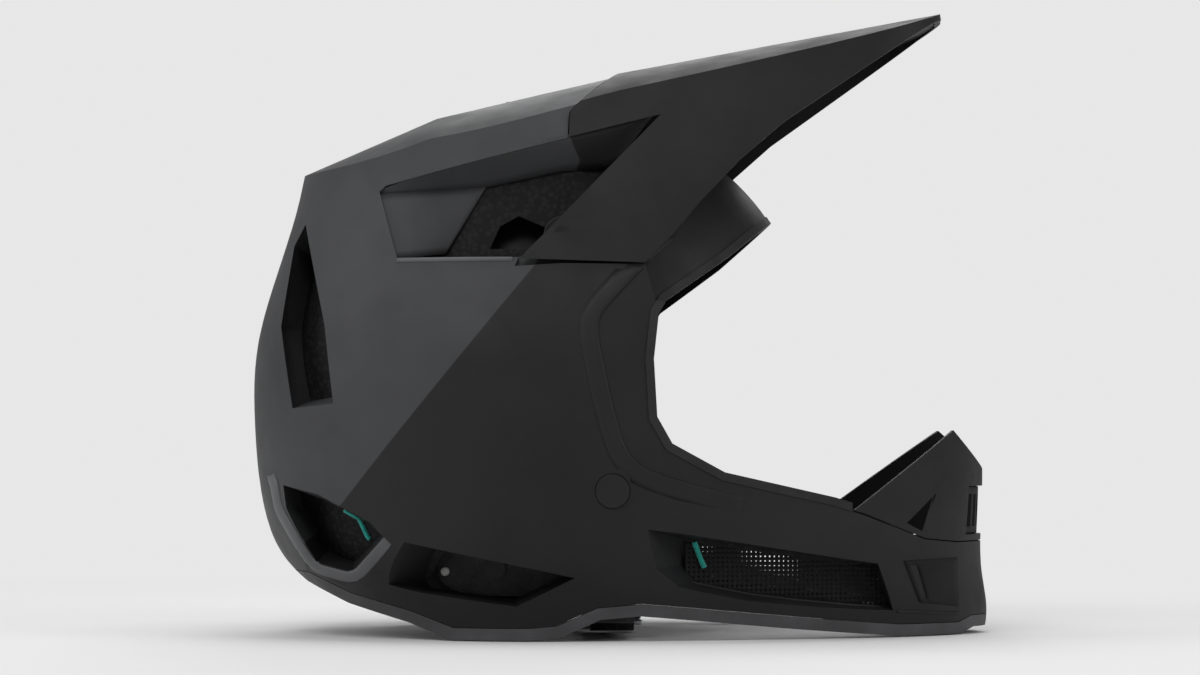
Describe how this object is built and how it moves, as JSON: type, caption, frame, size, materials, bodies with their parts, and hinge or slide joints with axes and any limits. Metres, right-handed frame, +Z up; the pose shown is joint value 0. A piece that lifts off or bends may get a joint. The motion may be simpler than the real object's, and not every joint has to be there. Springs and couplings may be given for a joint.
{
  "type": "full face helmet",
  "caption": "Full face downhill bike helmet with a tilting visor, vented shell, nose guard, foam liner, cheek pads, neck roll and a chin strap with rings.",
  "frame": {"origin": "on the ground under the middle of the helmet's outline", "axes": "+X to the wearer's front, +Y to their left, +Z up"},
  "size_m": [0.3647, 0.245, 0.3073],
  "materials": {
    "shell": "matt two-tone paint, graphite grey behind and black in front",
    "visor": "matt black",
    "guard": "matt black",
    "grille": "matt black",
    "bush": "moulded black",
    "trim": "dark grey rubber",
    "foam": "black beaded foam",
    "slip": "smooth low friction sheet",
    "padding": "brushed knit over foam",
    "piping": "teal piping",
    "webbing": "woven webbing",
    "steel": "satin"
  },
  "bodies": {
    "helmet": {"outer_shell": "shell", "nose_guard": "guard", "front_grille": "grille", "visor_bushes": "bush", "eye_port_trim": "trim", "base_trim": "trim", "eps_liner": "foam", "eps_chin": "foam", "eps_cheek_left": "foam", "eps_cheek_right": "foam", "slip_liner": "slip", "comfort_liner": "padding", "cheek_pad_left": "padding", "cheek_pad_right": "padding", "cheek_pad_piping": "piping", "cheek_pad_studs": "bush", "neck_roll": "padding", "chin_strap_left": "webbing", "chin_strap_right": "webbing", "strap_pad": "padding", "strap_press_studs": "bush", "strap_anchors": "steel"},
    "visor": {"visor": "visor"},
    "upper_ring": {"d_ring_upper": "steel"},
    "lower_ring": {"d_ring_lower": "steel"}
  },
  "joints": [
    {"name": "visor_tilt", "type": "hinge", "parent": "helmet", "child": "visor", "pos_m": [-0.027, 0, 0.1921], "axis": [0, -1, 0], "range_deg": [0, 8]},
    {"name": "upper_ring_swing", "type": "hinge", "parent": "helmet", "child": "upper_ring", "pos_m": [-0.00342, -0.014, 0.0094], "axis": [1, 0, 0], "range_deg": [0, 70]},
    {"name": "lower_ring_swing", "type": "hinge", "parent": "helmet", "child": "lower_ring", "pos_m": [-0.00342, -0.014, 0.0046], "axis": [1, 0, 0], "range_deg": [-8, 0]}
  ]
}
